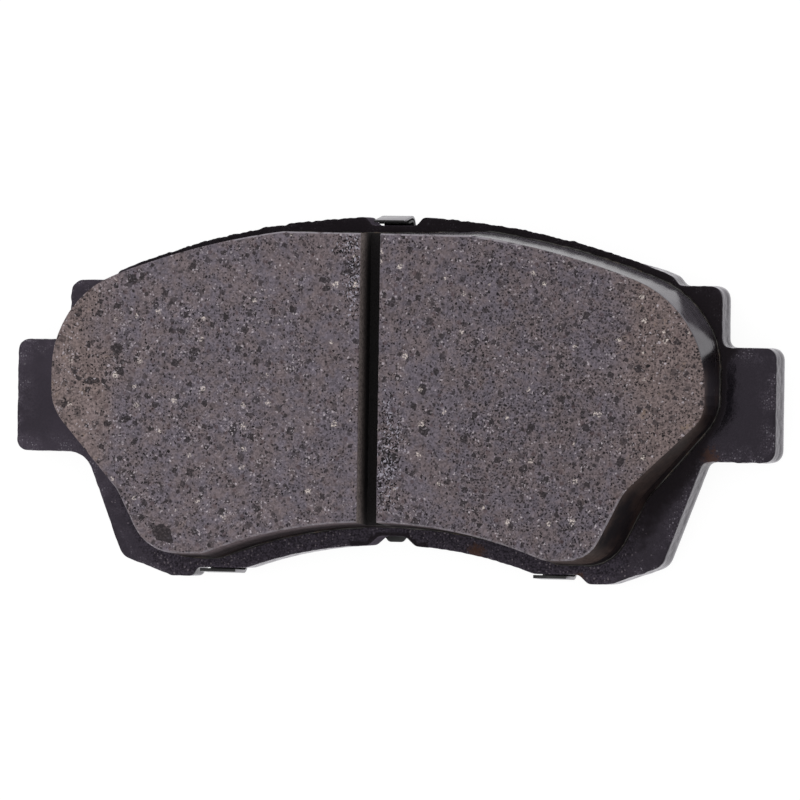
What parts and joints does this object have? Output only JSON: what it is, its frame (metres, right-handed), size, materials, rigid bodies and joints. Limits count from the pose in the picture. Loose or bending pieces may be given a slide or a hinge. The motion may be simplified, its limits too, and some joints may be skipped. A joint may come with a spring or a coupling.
{
  "type": "brake pad",
  "caption": "Disc brake pad: arched steel backing plate with side lugs, slotted friction block bonded to its front, and folded anti-noise shims clipped into notches at its back.",
  "frame": {"origin": "on the back of the outer shim, where the caliper piston presses, on the centre line of the lugs", "axes": "+X from lug to lug, +Y towards the arched edge, +Z from the shims towards the brake disc"},
  "size_m": [0.1388, 0.0638, 0.0179],
  "materials": {
    "plate_black": "black satin coating, slightly granular",
    "bond_adhesive": "matt brown adhesive",
    "underlayer_mix": "matt moulded mix",
    "friction_mix": "ground friction material with dark, white and brassy flecks",
    "shim_coated": "matt dark coating",
    "shim_bright": "bright rolled sheet"
  },
  "bodies": {
    "pad": {"backing_plate": "plate_black", "bond_film": "bond_adhesive", "underlayer": "underlayer_mix", "friction_block": "friction_mix"},
    "shim_inner": {"inner_shim": "shim_coated"},
    "shim_outer": {"outer_shim": "shim_bright"}
  },
  "joints": [
    {"name": "inner_shim_slide", "type": "slide", "parent": "pad", "child": "shim_inner", "axis": [1, 0, 0], "range_m": [0, 0.002]},
    {"name": "outer_shim_slide", "type": "slide", "parent": "pad", "child": "shim_outer", "axis": [1, 0, 0], "range_m": [0, 0.002]}
  ]
}
